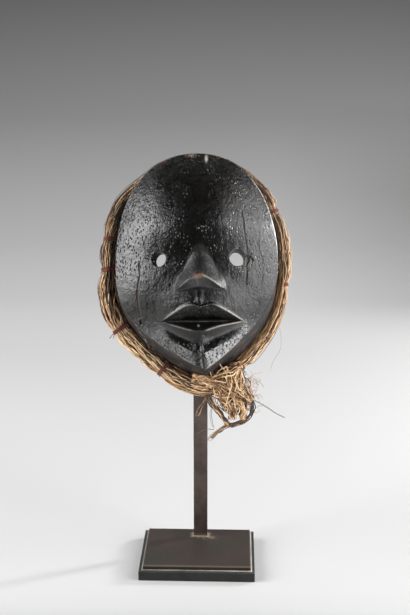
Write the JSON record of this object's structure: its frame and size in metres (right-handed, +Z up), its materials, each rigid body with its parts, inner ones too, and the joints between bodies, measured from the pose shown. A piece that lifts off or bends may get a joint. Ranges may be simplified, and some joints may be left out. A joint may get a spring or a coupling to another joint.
{
  "type": "carved face mask on a display stand",
  "caption": "Hollow carved wooden face mask with pierced eyes and a raffia bundle bound round its rim, carried by a flat bar on a stepped rectangular base.",
  "frame": {"origin": "centre of the underside of the base", "axes": "+Z up, the mask faces -Y, +X to the viewer's right"},
  "size_m": [0.2062, 0.1273, 0.4484],
  "materials": {
    "carved_wood": "satin",
    "raffia": "matte",
    "red_thread": "matte",
    "brown_metal": "satin",
    "black_metal": "satin"
  },
  "bodies": {
    "root": {"mask": "carved_wood", "raffia_bundle": "raffia", "binding_1": "red_thread", "binding_2": "red_thread", "binding_3": "red_thread", "binding_4": "red_thread", "binding_5": "red_thread", "binding_6": "red_thread", "binding_7": "red_thread", "binding_8": "red_thread", "binding_9": "red_thread", "mount_post": "brown_metal", "base_plate": "brown_metal", "base_plinth": "black_metal"}
  },
  "joints": []
}
